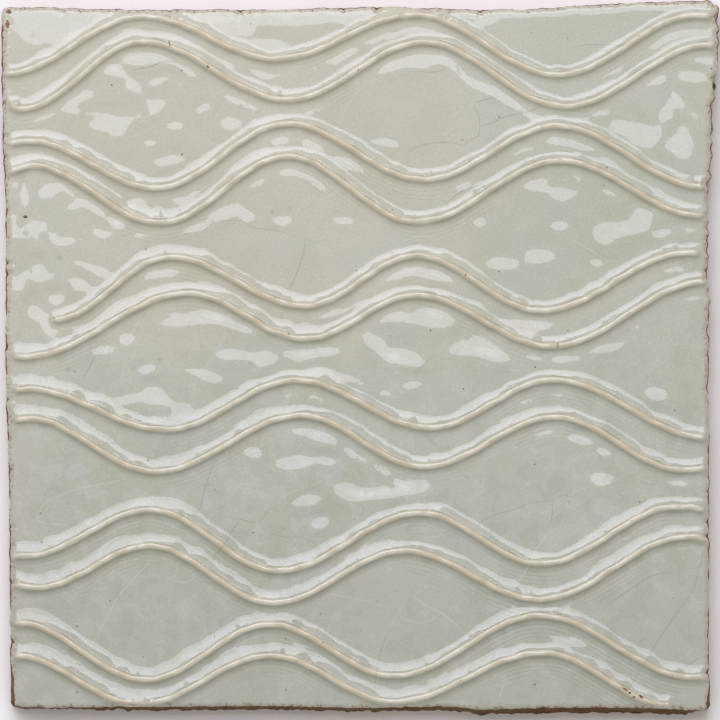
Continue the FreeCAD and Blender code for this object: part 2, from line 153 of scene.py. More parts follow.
# Lines of the crackle, each from end to end.
CRACKS = [
    [(-8.4, 39.2), (-10.7, 36), (-11.8, 33.5), (-13.3, 30.9), (-14.6, 26)],
    [(-11.6, 25), (-12.2, 21.6), (-13.3, 18.4), (-15, 14.3)],
    [(-54.5, 18.2), (-51.3, 21.1), (-48.3, 23.7), (-44.5, 26.2), (-39.8, 27.5), (-31.8, 29),
     (-25.4, 29.2), (-22.8, 27.7), (-18, 27.1), (-12.6, 25.6), (-7.3, 24.1), (-2, 23.9)],
    [(-11.2, 34.1), (-8.4, 33.7), (-5.6, 35), (-3.5, 36.9)],
    [(-32.8, 52.6), (-33, 49.4), (-33.7, 46.2)],
    [(-4.8, 46.9), (-4.4, 50), (-2.9, 53.2), (0.5, 57.5), (4.8, 59.8), (9.7, 61.1), (15.4, 60.7),
     (19.2, 61.9)],
    [(-48.8, 61.1), (-44.5, 61.9), (-41.8, 63), (-38.1, 62.8)],
    [(-71.1, 69), (-68.3, 70.9), (-65.3, 72.8)],
    [(-27.9, 5.8), (-29.2, 3.7), (-30.7, 1.2), (-32.8, -2), (-34.5, -4.4), (-35.8, -7.1)],
    [(-56.2, 0.5), (-57.9, -2.7), (-59.2, -5.2)],
    [(23.9, 54.3), (26.7, 54.9), (29.9, 55.6)],
    [(25.4, 49.4), (27.7, 49.8), (30.9, 51.3), (35.2, 52.2), (38.8, 53.7)],
    [(23.9, 54.3), (25.2, 51.5), (25.4, 48.3), (25, 47.1), (23.1, 46.2), (22, 45.2), (19.2, 45.8),
     (15, 45.6), (11.8, 44.7), (9.5, 43), (7.8, 40.9), (7.1, 39.4)],
    [(40.5, 61.7), (41.5, 63.9), (43.7, 65.3), (46.9, 66.4), (51.1, 66.6), (55.4, 66.4),
     (57.9, 66.4)],
    [(33.5, 59.4), (35.2, 60.9), (37.5, 61.9), (40.1, 61.7)],
    [(17.7, 32.2), (20.3, 34.5), (22.8, 36), (26.2, 36.9)],
    [(8.4, 24.3), (10.7, 25.4), (13.9, 26), (16.7, 25)],
    [(44.1, 26), (46.9, 24.1), (50, 22.4), (52, 20.9), (55.4, 20.5)],
    [(32, 18.6), (35.2, 18.6), (38.4, 18), (40.5, 15.8)],
    [(10.7, -3.7), (13.3, -1.6), (15.8, 0.7), (17.7, 2.4), (18.4, 5)],
    [(25.2, -0.5), (27.3, -1.8), (30.5, -2.4), (34.5, -2.7), (37.5, -2)],
    [(-48.8, -25.2), (-53, -26.5), (-57.9, -27.3), (-63.2, -29), (-66.8, -30.7), (-68.1, -32.8),
     (-68.7, -34.5), (-65.8, -35.2), (-61.5, -35.6)],
    [(-30.9, -21.8), (-32.2, -25.4), (-33.3, -29.2), (-34.1, -32), (-36, -33.7)],
    [(-2, -21.4), (-5.2, -24.3), (-9, -26.5), (-12.6, -27.9), (-15.8, -29.2), (-18.6, -31.6),
     (-20.9, -34.3), (-22, -36)],
    [(-22, -35.2), (-25.4, -34.3), (-30.1, -33.3), (-33.9, -32.4)],
    [(-25.6, -34.5), (-27.1, -36.7), (-28.6, -39.2), (-30.3, -41.3), (-31.6, -43)],
    [(-20.1, -36.7), (-16.9, -37.9), (-12.6, -38.1), (-6.3, -38.4)],
    [(-44.1, -42.8), (-46.6, -45.2), (-48.8, -47.7), (-51.5, -50.9), (-53.2, -54.1),
     (-54.9, -57.3), (-56.4, -60.7)],
    [(-38.4, -43.5), (-39.4, -46.6), (-40.3, -49.8), (-40.9, -53.2)],
    [(-39.2, -47.3), (-37.1, -47.7), (-34.5, -46.4), (-33.5, -45.6)],
    [(-8, -49.8), (-2.4, -50.9), (2.7, -52), (5.6, -53.2)],
    [(24.3, -36), (27.7, -33.7), (32, -32.4), (36.2, -30.9), (40.5, -30.3), (44.1, -28.8),
     (48.6, -27.5), (53.2, -26.5), (56.4, -24.8), (59.6, -24.1)],
    [(40.9, -30.5), (40.7, -34.1), (39.4, -37.7), (37.5, -40.7), (36.4, -43), (35, -45.6),
     (33.5, -47.7)],
    [(10.9, -50), (9, -52.8), (7.3, -55.6), (5.8, -58.5), (4.6, -61.7), (3.7, -65.1), (3.3, -68.5),
     (3.1, -72.1)],
    [(10.9, -50.3), (13.7, -52.4), (17.1, -54.1), (19.9, -56.2), (22.2, -58.5)],
    [(8, -54.7), (10.7, -56), (13.9, -56.2), (16, -55.1), (16.9, -54.1)],
    [(66, -45.4), (62.2, -46.2), (59, -48.1), (55.8, -50.3), (53, -52.2), (50.7, -54.5),
     (49, -56.6)],
    [(73.2, -40.5), (71.9, -45.6), (70.7, -49.4), (68.1, -53.2), (65.3, -57.1), (62.4, -61.5),
     (60, -65.6), (57.9, -69), (55.1, -73.6)],
    [(32.2, -65.6), (30.9, -68.5), (29.9, -71.3), (29.2, -73)],
    [(73.6, -63.2), (70.7, -64.5), (68.5, -66.4)],
    [(64.7, -2.2), (62.8, -5.8), (61.5, -8.6), (59.6, -11.8), (57.5, -15.6)],
    [(-0.3, -18.6), (1.4, -16.3), (2.7, -14.1)],
    [(13.7, -38.4), (17.1, -37.7), (20.9, -37.1)],
]

# The same, where a rib has parted across: short, dark and plain to see.
PARTINGS = [
    [(-40.5, 67.6), (-40.5, 66.9), (-40.3, 66.0)],
    [(42.0, 3.5), (42.1, 2.8), (41.9, 1.9)],
    [(-12.8, 59.2), (-12.5, 58.4)],
]

# Chips in the glaze that show the clay: middle, half length, half width and turn.
CHIPS = [
    (56.3, -70.3, 0.7, 0.22, -35), (57.3, -71.1, 0.35, 0.2, 0), (59.6, -71.9, 0.55, 0.2, -30),
    (58.2, -71.9, 0.25, 0.2, 0), (-32.3, 61.9, 0.35, 0.22, -30), (-74.6, 73.6, 0.6, 0.5, 0),
    (-74.9, 71.0, 0.35, 0.8, 0), (-71.1, 30.0, 0.42, 0.3, 0), (75.3, 58.0, 0.5, 1.2, 0),
    (75.0, 49.5, 0.4, 1.4, 0),
]

# Spacing of the mesh: along the rim, along the ribs and over the field, and the rows beside
# each rib's line, above and below it, and inside the rim.
RIM_STEP = 0.5
RIB_STEP = 0.76
FIELD_STEP = 0.86
UPPER_ROWS = (0.0, 0.12, 0.25, 0.38, 0.52, 0.66, 0.8, 0.95, 1.14, 1.42, 1.8, 2.25, 2.8)
LOWER_ROWS = (0.15, 0.31, 0.48, 0.68, 0.9, 1.15, 1.5, 1.85, 2.15, 2.4, 2.68, 3.1)
RIM_ROWS = (0.12, 0.3, 0.55, 0.85, 1.2, 1.65, 2.2)

# How far from its line a rib has any effect.
REACH = 9.0


# Plan shapes

def smooth(low, high, value):
    t = np.clip((value - low) / (high - low), 0.0, 1.0)
    return t * t * (3.0 - 2.0 * t)


def waves(seed, count, longest, shortest):
    """A function of the plan: random waves that come to about one altogether."""
    source = np.random.default_rng(seed)
    angle = source.uniform(0.0, 2.0 * math.pi, count)
    length = np.exp(source.uniform(math.log(shortest), math.log(longest), count))
    turn = source.uniform(0.0, 2.0 * math.pi, count)
    size = length / length.max()
    size = size / math.sqrt(np.sum(size ** 2) / 2.0)
    kx = 2.0 * math.pi / length * np.cos(angle)
    ky = 2.0 * math.pi / length * np.sin(angle)

    def height(x, y):
        total = np.zeros_like(x)
        for a, b, c, d in zip(kx, ky, turn, size):
            total += d * np.cos(a * x + b * y + c)
        return total

    return height


LINE_STEP = 0.05
LINE_END = 80.0


def rib_line(number):
    """The rib's centre line and its slope at close steps, run on straight past both ends."""
    turns = RIB_TURNS[number]
    start, end = RIB_ENDS[number]
    x = np.arange(-LINE_END, LINE_END + LINE_STEP, LINE_STEP)
    y = np.zeros_like(x)
    for (x0, y0), (x1, y1) in zip(turns, turns[1:]):
        part = (x >= x0) & (x <= x1)
        share = (x[part] - x0) / (x1 - x0)
        y[part] = y0 + (y1 - y0) * (0.5 - 0.5 * np.cos(math.pi * share))
    for turn, tip, part in ((turns[0], start, x < turns[0][0]), (turns[-1], end, x > turns[-1][0])):
        reach = tip[0] - turn[0]
        fall = tip[1] - turn[1]
        if abs(reach) < 0.5:
            y[part] = turn[1]
            continue
        share = (x[part] - turn[0]) / reach
        y[part] = turn[1] + fall * np.where(share < 1.0, share ** 2, 2.0 * share - 1.0)
    return x, y, np.gradient(y, x)


RIB_LINES = [rib_line(number) for number in range(len(RIB_TURNS))]


def line_waves(seed, longest, shortest, at):
    """Random waves along an open line that come to about one altogether."""
    source = np.random.default_rng(seed)
    total = np.zeros_like(at)
    count = 16
    for _ in range(count):
        length = math.exp(source.uniform(math.log(shortest), math.log(longest)))
        total += np.cos(2.0 * math.pi * at / length + source.uniform(0.0, 2.0 * math.pi))
    return total / math.sqrt(count / 2.0)


# How each rib was laid unevenly: its side wander, its height, the end of the narrow dip, the
# reach of the pool, the depth of the dip and the ledge outside the fold. Each has its own
# longest and shortest wave.
UNEVEN_LENGTHS = ((16.0, 4.0), (16.0, 3.0), (16.0, 6.0), (44.0, 13.0), (16.0, 7.0), (16.0, 4.5))
UNEVEN = [[line_waves(100 * number + kind, longest, shortest, RIB_LINES[number][0])
           for kind, (longest, shortest) in enumerate(UNEVEN_LENGTHS)]
          for number in range(len(RIB_TURNS))]


def rib_place(number, x, y):
    """Distance above the rib's line, how far past either end, and where along x it is."""
    line_x, line_y, line_slope = RIB_LINES[number]
    foot = np.array(x, float)
    for _ in range(5):
        at = np.interp(foot, line_x, line_y)
        slope = np.interp(foot, line_x, line_slope)
        foot = foot + 0.9 * ((x - foot) + (y - at) * slope) / (1.0 + slope ** 2)
    at = np.interp(foot, line_x, line_y)
    slope = np.interp(foot, line_x, line_slope)
    length = np.sqrt(1.0 + slope ** 2)
    side = np.sign(y - np.interp(x, line_x, line_y))
    away = side * np.hypot(x - foot, y - at)
    start, end = RIB_ENDS[number]
    past = np.maximum(start[0] - foot, foot - end[0]) * length
    return away, past, foot


# The face

# How steeply a rib falls at each distance from its top: above it, where the glaze has pooled
# outside the fold, and below it. Both sides fall RIB_RISE in all. Here and there, and where
# the rib runs downhill, a narrow level ledge parts fold and pool.
RIB_RISE = 0.92
FOLD = 0.62
LEDGE = 0.25
DOWN_LEDGE = 0.32
ABOVE = ((0.0, 0.0), (0.08, 0.10), (0.22, 0.30), (0.38, 0.50), (0.48, 0.95), (0.57, 1.15),
         (0.65, 0.75), (0.73, 0.46), (1.00, 0.38), (1.30, 0.29), (1.65, 0.20), (1.88, 0.13),
         (2.06, 0.055), (2.25, 0.015), (2.7, 0.0), (9.0, 0.0))
BELOW = ((0.0, 0.0), (0.10, 0.03), (0.26, 0.28), (0.47, 0.60), (0.69, 0.78), (0.90, 0.78),
         (1.11, 0.64), (1.32, 0.44), (1.54, 0.33), (1.75, 0.24), (2.00, 0.14), (2.40, 0.07),
         (3.20, 0.0), (9.0, 0.0))
# How far from its end a rib begins to round off.
TIP = 0.8
# How strong the unevenness is: of the line, the height and the pool's reach. The pool also
# reaches further toward the foot and toward the left, and is weaker downhill on the right.
WANDER, LIFT, SPREAD = 0.09, 0.06, 0.14
FOOT_SPREAD, LEFT_SPREAD, DOWNHILL_LOSS = 0.0040, 0.32, 0.45
# The dips below a rib: the wide one, and the narrow one of the ribs near the foot.
WIDE_DIP, NARROW_DIP = 0.12, 0.055


def fall_table(slopes):
    """Distances and the share of the height that is left at each, for these slopes."""
    at = np.arange(0.0, 9.0, 0.01)
    steep = np.interp(at, [d for d, _ in slopes], [s for _, s in slopes])
    steep = np.convolve(np.pad(steep, 5, "edge"), np.ones(11) / 11, "valid")
    left = np.cumsum(steep[::-1])[::-1]
    return at, left / left[0]


ABOVE_TABLE = fall_table(ABOVE)
BELOW_TABLE = fall_table(BELOW)


def rib_height(number, x, y):
    """Rise of one rib, of the glaze pooled above it and of the dip sheltered below it."""
    away, past, foot = rib_place(number, x, y)
    line_x, line_y, line_slope = RIB_LINES[number]
    wander, lift, dip_end, spread, dip, shelf = (np.interp(foot, line_x, row)
                                                 for row in UNEVEN[number])
    down = smooth(0.12, 0.42, -np.interp(foot, line_x, line_slope))
    ledge = LEDGE * smooth(1.0, 1.9, shelf) * (1.0 - down) + DOWN_LEDGE * down
    away = away - WANDER * wander
    near = np.hypot(away, np.maximum(past + TIP, 0.0))
    stretch = (1.0 - FOOT_SPREAD * y) * (1.0 + SPREAD * np.clip(spread, -1.6, 1.8))
    stretch = stretch * (1.0 + LEFT_SPREAD * smooth(20.0, -60.0, x))
    pool = near - sum(np.clip(near - FOLD + part, 0.0, ledge) for part in (-0.05, 0.0, 0.05)) / 3
    pool = np.where(pool > FOLD, FOLD + (pool - FOLD) / stretch, pool)
    rise = RIB_RISE * (1.0 + LIFT * lift)
    weaker = 1.0 - DOWNHILL_LOSS * down * smooth(-10.0, 60.0, x)
    pooled_rise = np.interp(pool, *ABOVE_TABLE)
    level = np.interp(FOLD + 0.1, *ABOVE_TABLE)
    upper = rise * np.where(pool > FOLD + 0.1, weaker * pooled_rise,
                            pooled_rise - (1.0 - weaker) * level)
    upper = upper + rise * (1.0 - weaker) * level * (1.0 - smooth(0.2, FOLD, near))
    lower = rise * np.interp(near, *BELOW_TABLE)
    low_third = smooth(-20.0, -40.0, y)
    arch = np.interp(foot, line_x, line_y)
    middle = 0.5 * (line_y[np.abs(line_x) < 70].max() + line_y[np.abs(line_x) < 70].min())
    arch = np.clip((arch - middle) / 6.0, -1.0, 1.0)
    share = np.clip(0.52 + 0.30 * arch + 0.34 * dip, 0.0, 1.2)
    wide = WIDE_DIP * share * (1.0 - 0.6 * low_third) * (1.0 - smooth(2.0, 4.6, near))
    narrow = NARROW_DIP * low_third * (1.0 - smooth(2.05, 2.65, near + 0.1 * dip_end))
    open_end = 1.0 - smooth(-1.0, 2.5, past)
    lower = lower - (wide + narrow) * open_end * smooth(0.2, 1.6, near)
    side = smooth(-0.2, 0.2, away)
    return lower + (upper - lower) * side


# The unevenness of the slab, in two sizes, where it is stronger, and what bends the leans.
swell = waves(3, 26, 40.0, 14.0)
ripple = waves(11, 40, 11.0, 4.0)
unrest = waves(5, 9, 120.0, 50.0)
warp = waves(19, 24, 14.0, 5.0)
SWELL, RIPPLE = 0.045, 0.010
WARP_ACROSS, WARP_UP = 0.34, 0.28
# The slope of a lean at the middle of the tile, and how much less it is for each mm upward.
LEAN_SLOPE, LEAN_LOSS = 0.118, 0.0009


def field_height(x, y):
    busy = 0.6 + 0.4 * smooth(-60.0, 40.0, y) + 0.12 * unrest(x, y)
    return busy * (SWELL * swell(x, y) + RIPPLE * ripple(x, y))


def lean_height(x, y):
    """The leans: each a small rise on its lower side and a dip on its upper side."""
    z = np.zeros_like(x)
    warp_x, warp_y = WARP_ACROSS * warp(x, y), WARP_UP * warp(y + 40.0, x)
    for px, py, length, width, turn in LEANS:
        a = math.radians(turn)
        upright = math.sin(a) ** 2
        length = length / (0.79 - 0.33 * upright)
        width = width / (0.46 + 0.33 * upright)
        near = np.hypot(x - px, y - py) < 1.6 * max(length, width)
        dx, dy = x[near] - px, y[near] - py
        bx, by = dx + warp_x[near], dy + warp_y[near]
        u = (bx * math.cos(a) + by * math.sin(a)) / length
        v = (by * math.cos(a) - bx * math.sin(a)) / width
        steep = LEAN_SLOPE - LEAN_LOSS * py
        z[near] -= steep * dy * np.exp(-np.hypot(u, v) ** 3)
    return z


def face_height(x, y):
    z = FACE + field_height(x, y) + lean_height(x, y)
    for number in range(len(RIB_TURNS)):
        line_x, line_y, _ = RIB_LINES[number]
        close = np.abs(y - np.interp(x, line_x, line_y)) < REACH + 2.0
        z[close] += rib_height(number, x[close], y[close])
    return z


# The rim

def outline():
    """The closed outline at even steps, the distance along it and the rim's values there."""
    points = np.array([point for _, side in SIDES for point in side])
    owner = [name for name, side in SIDES for _ in side]
    lasts = np.cumsum([len(side) for _, side in SIDES]) - 1
    radius = dict(zip([0, *lasts], CORNER_ROUNDS))
    ring, ring_owner = [], []
    count = len(points)
    for number in range(count):
        here = points[number]
        if number in radius:
            before = points[number - 1] - here
            after = points[(number + 1) % count] - here
            before = before / np.linalg.norm(before)
            after = after / np.linalg.norm(after)
            r = radius[number]
            inward = before + after
            inward = inward / np.linalg.norm(inward)
            half = math.acos(np.clip(np.dot(before, after), -1, 1)) / 2
            centre = here + inward * r / math.sin(half)
            first = here + before * r / math.tan(half) - centre
            last = here + after * r / math.tan(half) - centre
            a0 = math.atan2(first[1], first[0])
            sweep = (math.atan2(last[1], last[0]) - a0 + math.pi) % (2 * math.pi) - math.pi
            for share in np.linspace(0, 1, CORNER_STEPS):
                a = a0 + sweep * share
                ring.append(centre + r * np.array([math.cos(a), math.sin(a)]))
                ring_owner.append(owner[number])
        else:
            ring.append(here)
            ring_owner.append(owner[number])
    ring = np.array(ring)
    closed = np.vstack([ring, ring[:1]])
    along = np.concatenate([[0], np.cumsum(np.linalg.norm(np.diff(closed, axis=0), axis=1))])
    total = along[-1]
    count = int(total / RIM_STEP)
    at = np.arange(count) * total / count
    x = np.interp(at, along, closed[:, 0])
    y = np.interp(at, along, closed[:, 1])
    rims = np.array([RIM[name] for name in ring_owner] + [RIM[ring_owner[0]]])
    rim = np.stack([np.interp(at, along, rims[:, n]) for n in range(rims.shape[1])], axis=1)
    width = 5
    for n in range(rim.shape[1]):
        padded = np.concatenate([rim[-width:, n], rim[:, n], rim[:width, n]])
        rim[:, n] = np.convolve(padded, np.ones(width) / width, "same")[width:-width]
    return np.stack([x, y], axis=1), at, rim


def line_noise(seed, count, total, longest, shortest, at):
    """Random waves along a closed line that come to about one altogether."""
    source = np.random.default_rng(seed)
    value = np.zeros_like(at)
    for _ in range(count):
        length = math.exp(source.uniform(math.log(shortest), math.log(longest)))
        turns = max(1, round(total / length))
        value += np.cos(2 * math.pi * turns * at / total + source.uniform(0, 2 * math.pi))
    return value / math.sqrt(count / 2)


ring, ring_at, ring_rim = outline()
ring_total = ring_at[1] * len(ring_at)

# The roll along the top is slighter on its right half.
flatter = smooth(0.0, 18.0, ring[:, 0]) * smooth(72.0, 74.0, ring[:, 1])
ring_rim[:, 4] *= 1.0 - 0.4 * flatter
ring_rim[:, 5] *= 1.0 - 0.4 * flatter
ahead = np.roll(ring, -1, axis=0) - np.roll(ring, 1, axis=0)
ahead = ahead / np.linalg.norm(ahead, axis=1, keepdims=True)
ring_out = np.stack([ahead[:, 1], -ahead[:, 0]], axis=1)

# The edge is ragged all round, more so at the foot and on the upper part of the right side,
# and has nicks, but none at the lower right corner.
side_foot = smooth(-74.0, -74.6, ring[:, 1])
side_right = smooth(72.8, 73.4, ring[:, 0]) * smooth(-20.0, 20.0, ring[:, 1])
nicks = smooth(1.5, 2.5, line_noise(33, 16, ring_total, 4.0, 1.2, ring_at))
nicks = nicks * (1.0 - smooth(-68.0, -70.0, ring[:, 1]) * smooth(72.0, 73.0, ring[:, 0]))
ragged = 0.04 * line_noise(31, 14, ring_total, 5.0, 1.3, ring_at)
ragged += 0.05 * line_noise(32, 10, ring_total, 14.0, 5.0, ring_at)
ragged -= 0.2 * nicks
ragged += side_foot * 0.10 * line_noise(35, 14, ring_total, 7.0, 1.6, ring_at)
ragged += side_right * 0.16 * line_noise(37, 14, ring_total, 9.0, 2.2, ring_at)
ring = ring + ring_out * ragged[:, None]

# How far the glaze reaches past the edge. At the foot it stops short by a strip that widens
# to the right. On the other sides it runs down the wall here and there.
ring_glaze = ring_rim[:, 0] + ring_rim[:, 1] * line_noise(34, 18, ring_total, 12.0, 1.4, ring_at)
ring_glaze -= 0.3 * nicks
runs = (1.0 - side_foot) * smooth(0.7, 1.15, line_noise(36, 12, ring_total, 45.0, 9.0, ring_at))
ring_glaze += 0.4 * runs
foot_strip = 0.35 + 0.5 * smooth(-64.0, -48.0, ring[:, 0]) + 0.35 * smooth(5.0, 40.0, ring[:, 0])
foot_strip = foot_strip * (1.0 - 0.85 * smooth(69.0, 72.0, ring[:, 0]))
ring_glaze += side_foot * (1.0 - foot_strip - ragged)
run_depth = np.clip(3.0 + 1.6 * line_noise(38, 12, ring_total, 24.0, 6.0, ring_at), 0.8, 7.0)
ring_run = ring_glaze + run_depth * runs
ring_inset = np.maximum(-ring_glaze, 0.05)


# Only points this far out from the middle can be near the rim. The others count as deep
# inside it. So many points are worked out at a time, to spare memory.
RIM_ZONE = 68.0
DEEP = 50.0
AT_A_TIME = 4000


def rim_place(x, y):
    """Distance in from the outline and the nearest place along it."""
    inside = np.full(x.shape, DEEP)
    index = np.zeros(x.shape)
    near = (np.abs(x) > RIM_ZONE) | (np.abs(y) > RIM_ZONE)
    p = np.stack([x[near], y[near]], axis=1)
    best = np.zeros(len(p))
    where = np.zeros(len(p))
    a = ring
    b = np.roll(ring, -1, axis=0)
    ab = b - a
    size = np.sum(ab ** 2, axis=1)
    for first in range(0, len(p), AT_A_TIME):
        q = p[first:first + AT_A_TIME]
        t = np.einsum("ijk,jk->ij", q[:, None, :] - a[None, :, :], ab) / size
        t = np.clip(t, 0.0, 1.0)
        spot = a[None, :, :] + t[:, :, None] * ab[None, :, :]
        gap = np.linalg.norm(q[:, None, :] - spot, axis=2)
        pick = np.argmin(gap, axis=1)
        rows = np.arange(len(q))
        best[first:first + AT_A_TIME] = gap[rows, pick]
        where[first:first + AT_A_TIME] = pick + t[rows, pick]
    inside[near] = best
    index[near] = where
    return inside, index


def around(values, index):
    """Values given along the closed outline, read at these places."""
    wrapped = np.concatenate([values, values[:1]])
    return np.interp(index, np.arange(len(wrapped)), wrapped)


def rim_drop(x, y):
    """How far the surface falls below the face near the rim, and how far inside the glaze."""
    inside, index = rim_place(x, y)
    inset = around(ring_inset, index)
    fall, roll, gentle, width = (around(ring_rim[:, n], index) for n in (2, 3, 4, 5))
    glaze = inside - inset
    g = np.clip(glaze, 0.0, None)
    bend = np.clip(roll - g, 0.0, None)
    drop = roll - np.sqrt(roll ** 2 - 0.9 * bend ** 2)
    drop += gentle * np.clip(1.0 - g / width, 0.0, 1.0) ** 2
    share = np.clip(-glaze / np.maximum(inset, 0.05), 0.0, 1.0)
    drop += fall * share ** 1.15
    return drop, glaze


def surface(x, y):
    """Height of the tile's upper side. Its relief fades toward the rim."""
    drop, glaze = rim_drop(x, y)
    z = face_height(x, y)
    fade = smooth(-0.2, 1.2, glaze)
    z = FACE + (z - FACE) * (0.25 + 0.75 * fade)
    return z - drop


# The skin

PAST_END = 3.0


def rib_points():
    """Rows of points along each rib, without those nearer to another rib."""
    points = []
    for number in range(len(RIB_TURNS)):
        line_x, line_y, line_slope = RIB_LINES[number]
        start, end = RIB_ENDS[number]
        length = np.sqrt(1.0 + line_slope ** 2)
        along = np.concatenate([[0], np.cumsum(0.5 * (length[1:] + length[:-1]) * LINE_STEP)])
        low = np.interp(start[0] - PAST_END, line_x, along)
        high = np.interp(end[0] + PAST_END, line_x, along)
        at = np.linspace(low, high, int((high - low) / RIB_STEP))
        x = np.interp(at, along, line_x)
        y = np.interp(x, line_x, line_y)
        slope = np.interp(x, line_x, line_slope)
        nx, ny = -slope / np.sqrt(1 + slope ** 2), 1 / np.sqrt(1 + slope ** 2)
        for side, rows in ((1, UPPER_ROWS), (-1, LOWER_ROWS)):
            for away in rows:
                px = x + nx * away * side
                py = y + ny * away * side
                points.append(np.stack([px, py, np.full(len(px), number)], axis=1))
    points = np.vstack(points)
    keep = np.ones(len(points), bool)
    for number in range(len(RIB_TURNS)):
        line_x, line_y, _ = RIB_LINES[number]
        others = np.abs(points[:, 1] - np.interp(points[:, 0], line_x, line_y)) < 7.0
        others &= points[:, 2] != number
        away, past, _ = rib_place(number, points[others, 0], points[others, 1])
        own = np.abs(own_distance(points[others]))
        lost = (np.abs(away) < own + 0.25) & (past < PAST_END)
        keep[np.flatnonzero(others)[lost]] = False
    return points[keep, :2]


def own_distance(points):
    """Distance of each point from the rib that it was made for."""
    away = np.zeros(len(points))
    for number in range(len(RIB_TURNS)):
        mine = points[:, 2] == number
        if mine.any():
            away[mine], _, _ = rib_place(number, points[mine, 0], points[mine, 1])
    return away


def field_points():
    """An even net of points, slightly stirred, where no rib's rows are."""
    rows = np.arange(-77.0, 77.0, FIELD_STEP * math.sqrt(3) / 2)
    points = []
    for row, y in enumerate(rows):
        x = np.arange(-77.5, 77.5, FIELD_STEP) + (row % 2) * FIELD_STEP / 2
        points.append(np.stack([x, np.full(len(x), y)], axis=1))
    points = np.vstack(points)
    points += rng.uniform(-0.12, 0.12, points.shape)
    clear = np.full(len(points), 99.0)
    for number in range(len(RIB_TURNS)):
        line_x, line_y, _ = RIB_LINES[number]
        close = np.abs(points[:, 1] - np.interp(points[:, 0], line_x, line_y)) < 6.0
        away, past, _ = rib_place(number, points[close, 0], points[close, 1])
        last = np.where(away > 0, UPPER_ROWS[-1], LOWER_ROWS[-1])
        gap = np.where(past > PAST_END, 99.0, np.abs(away) - last)
        clear[close] = np.minimum(clear[close], gap)
    return points[clear > 0.5 * FIELD_STEP]


def within(points, faces, border, loop):
    """The faces that lie inside the loop. Only those with all corners on it can be outside."""
    on_border = np.zeros(len(points), bool)
    on_border[border] = True
    corners = np.array(faces)
    doubtful = np.flatnonzero(on_border[corners].all(axis=1))
    centre = points[corners[doubtful]].mean(axis=1)
    after = np.roll(loop, -1, axis=0)
    lost = set()
    for number, (cx, cy) in zip(doubtful, centre):
        spans = (loop[:, 1] > cy) != (after[:, 1] > cy)
        a, b = loop[spans], after[spans]
        crossing = a[:, 0] + (cy - a[:, 1]) * (b[:, 0] - a[:, 0]) / (b[:, 1] - a[:, 1])
        if np.count_nonzero(crossing > cx) % 2 == 0:
            lost.add(number)
    return [face for number, face in enumerate(faces) if number not in lost]


def filled(plan, count):
    """Triangles over the points, whose first ones are the border. It gives the points, the
    faces and which of the given points each one was."""
    edges = [(n, (n + 1) % count) for n in range(count)]
    made = delaunay_2d_cdt([Vector(p) for p in plan.tolist()], edges, [list(range(count))],
                           1, 1e-6, True)
    return np.array([tuple(v) for v in made[0]]), [tuple(f) for f in made[2]], made[3]


def make_skin():
    """The upper side's points in plan, its faces and its border."""
    inner = np.vstack([rib_points(), field_points()])
    inner = inner[(np.abs(inner[:, 0]) < 78) & (np.abs(inner[:, 1]) < 78)]
    inside, index = rim_place(inner[:, 0], inner[:, 1])
    base = ring[index.astype(int) % len(ring)]
    out = ring_out[index.astype(int) % len(ring)]
    beyond = np.sum((inner - base) * out, axis=1) > 0
    keep = (inside > RIM_ROWS[-1] + 0.3) & ~((inside < DEEP) & beyond)
    inner = inner[keep]
    rows = np.vstack([ring - ring_out * row for row in RIM_ROWS])
    inside, _ = rim_place(rows[:, 0], rows[:, 1])
    nearest = np.repeat(RIM_ROWS, len(ring))
    rows = rows[inside > 0.8 * nearest]
    points, faces, origin = filled(np.vstack([ring, rows, inner]), len(ring))
    slot = {old: new for new, olds in enumerate(origin) for old in olds}
    border = [slot[n] for n in range(len(ring))]
    return points, within(points, faces, border, ring), border


plan, faces, border = make_skin()
top_z = surface(plan[:, 0], plan[:, 1])
top_count = len(plan)
vertices = np.column_stack([plan, top_z])

# The normals come from the surface itself, so that its reflections are smooth.
step = 0.02
gx = (surface(plan[:, 0] + step, plan[:, 1]) - surface(plan[:, 0] - step, plan[:, 1])) / (2 * step)
gy = (surface(plan[:, 0], plan[:, 1] + step) - surface(plan[:, 0], plan[:, 1] - step)) / (2 * step)
normals = np.column_stack([-gx, -gy, np.ones(top_count)])
normals /= np.linalg.norm(normals, axis=1, keepdims=True)

# The wall, from the rim down to the flat back, with a small round where they meet.
WALL_SHARES = (0.12, 0.3, 0.52, 0.75, 0.93, 1.0)
BACK_ROUND = 0.5
count = len(border)
wall_rings = [np.array(border)]
wall_vertices = []
wall_normals = []
wall_wave = 0.10 * line_noise(41, 12, ring_total, 30.0, 4.0, ring_at)
# How far in the last two rings lie, and how far their normals turn down.
LAST_RINGS = {WALL_SHARES[-2]: (0.05, -0.3), WALL_SHARES[-1]: (BACK_ROUND, -0.6)}
for level, share in enumerate(WALL_SHARES):
    z = vertices[border, 2] * (1.0 - share)
    if share == WALL_SHARES[-2]:
        z = np.full(count, BACK_ROUND)
    inward, turned_down = LAST_RINGS.get(share, (0.0, 0.0))
    out = np.minimum(wall_wave - 0.1, -0.02) * math.sin(math.pi * share) - inward
    start = top_count + level * count
    wall_rings.append(np.arange(start, start + count))
    wall_vertices.append(np.column_stack([ring + ring_out * out[:, None], z]))
    normal = np.column_stack([ring_out, np.full(count, turned_down)])
    wall_normals.append(normal / np.linalg.norm(normal, axis=1, keepdims=True))
for upper, lower in zip(wall_rings, wall_rings[1:]):
    for n in range(count):
        m = (n + 1) % count
        faces.append((upper[n], lower[n], lower[m]))
        faces.append((upper[n], lower[m], upper[m]))

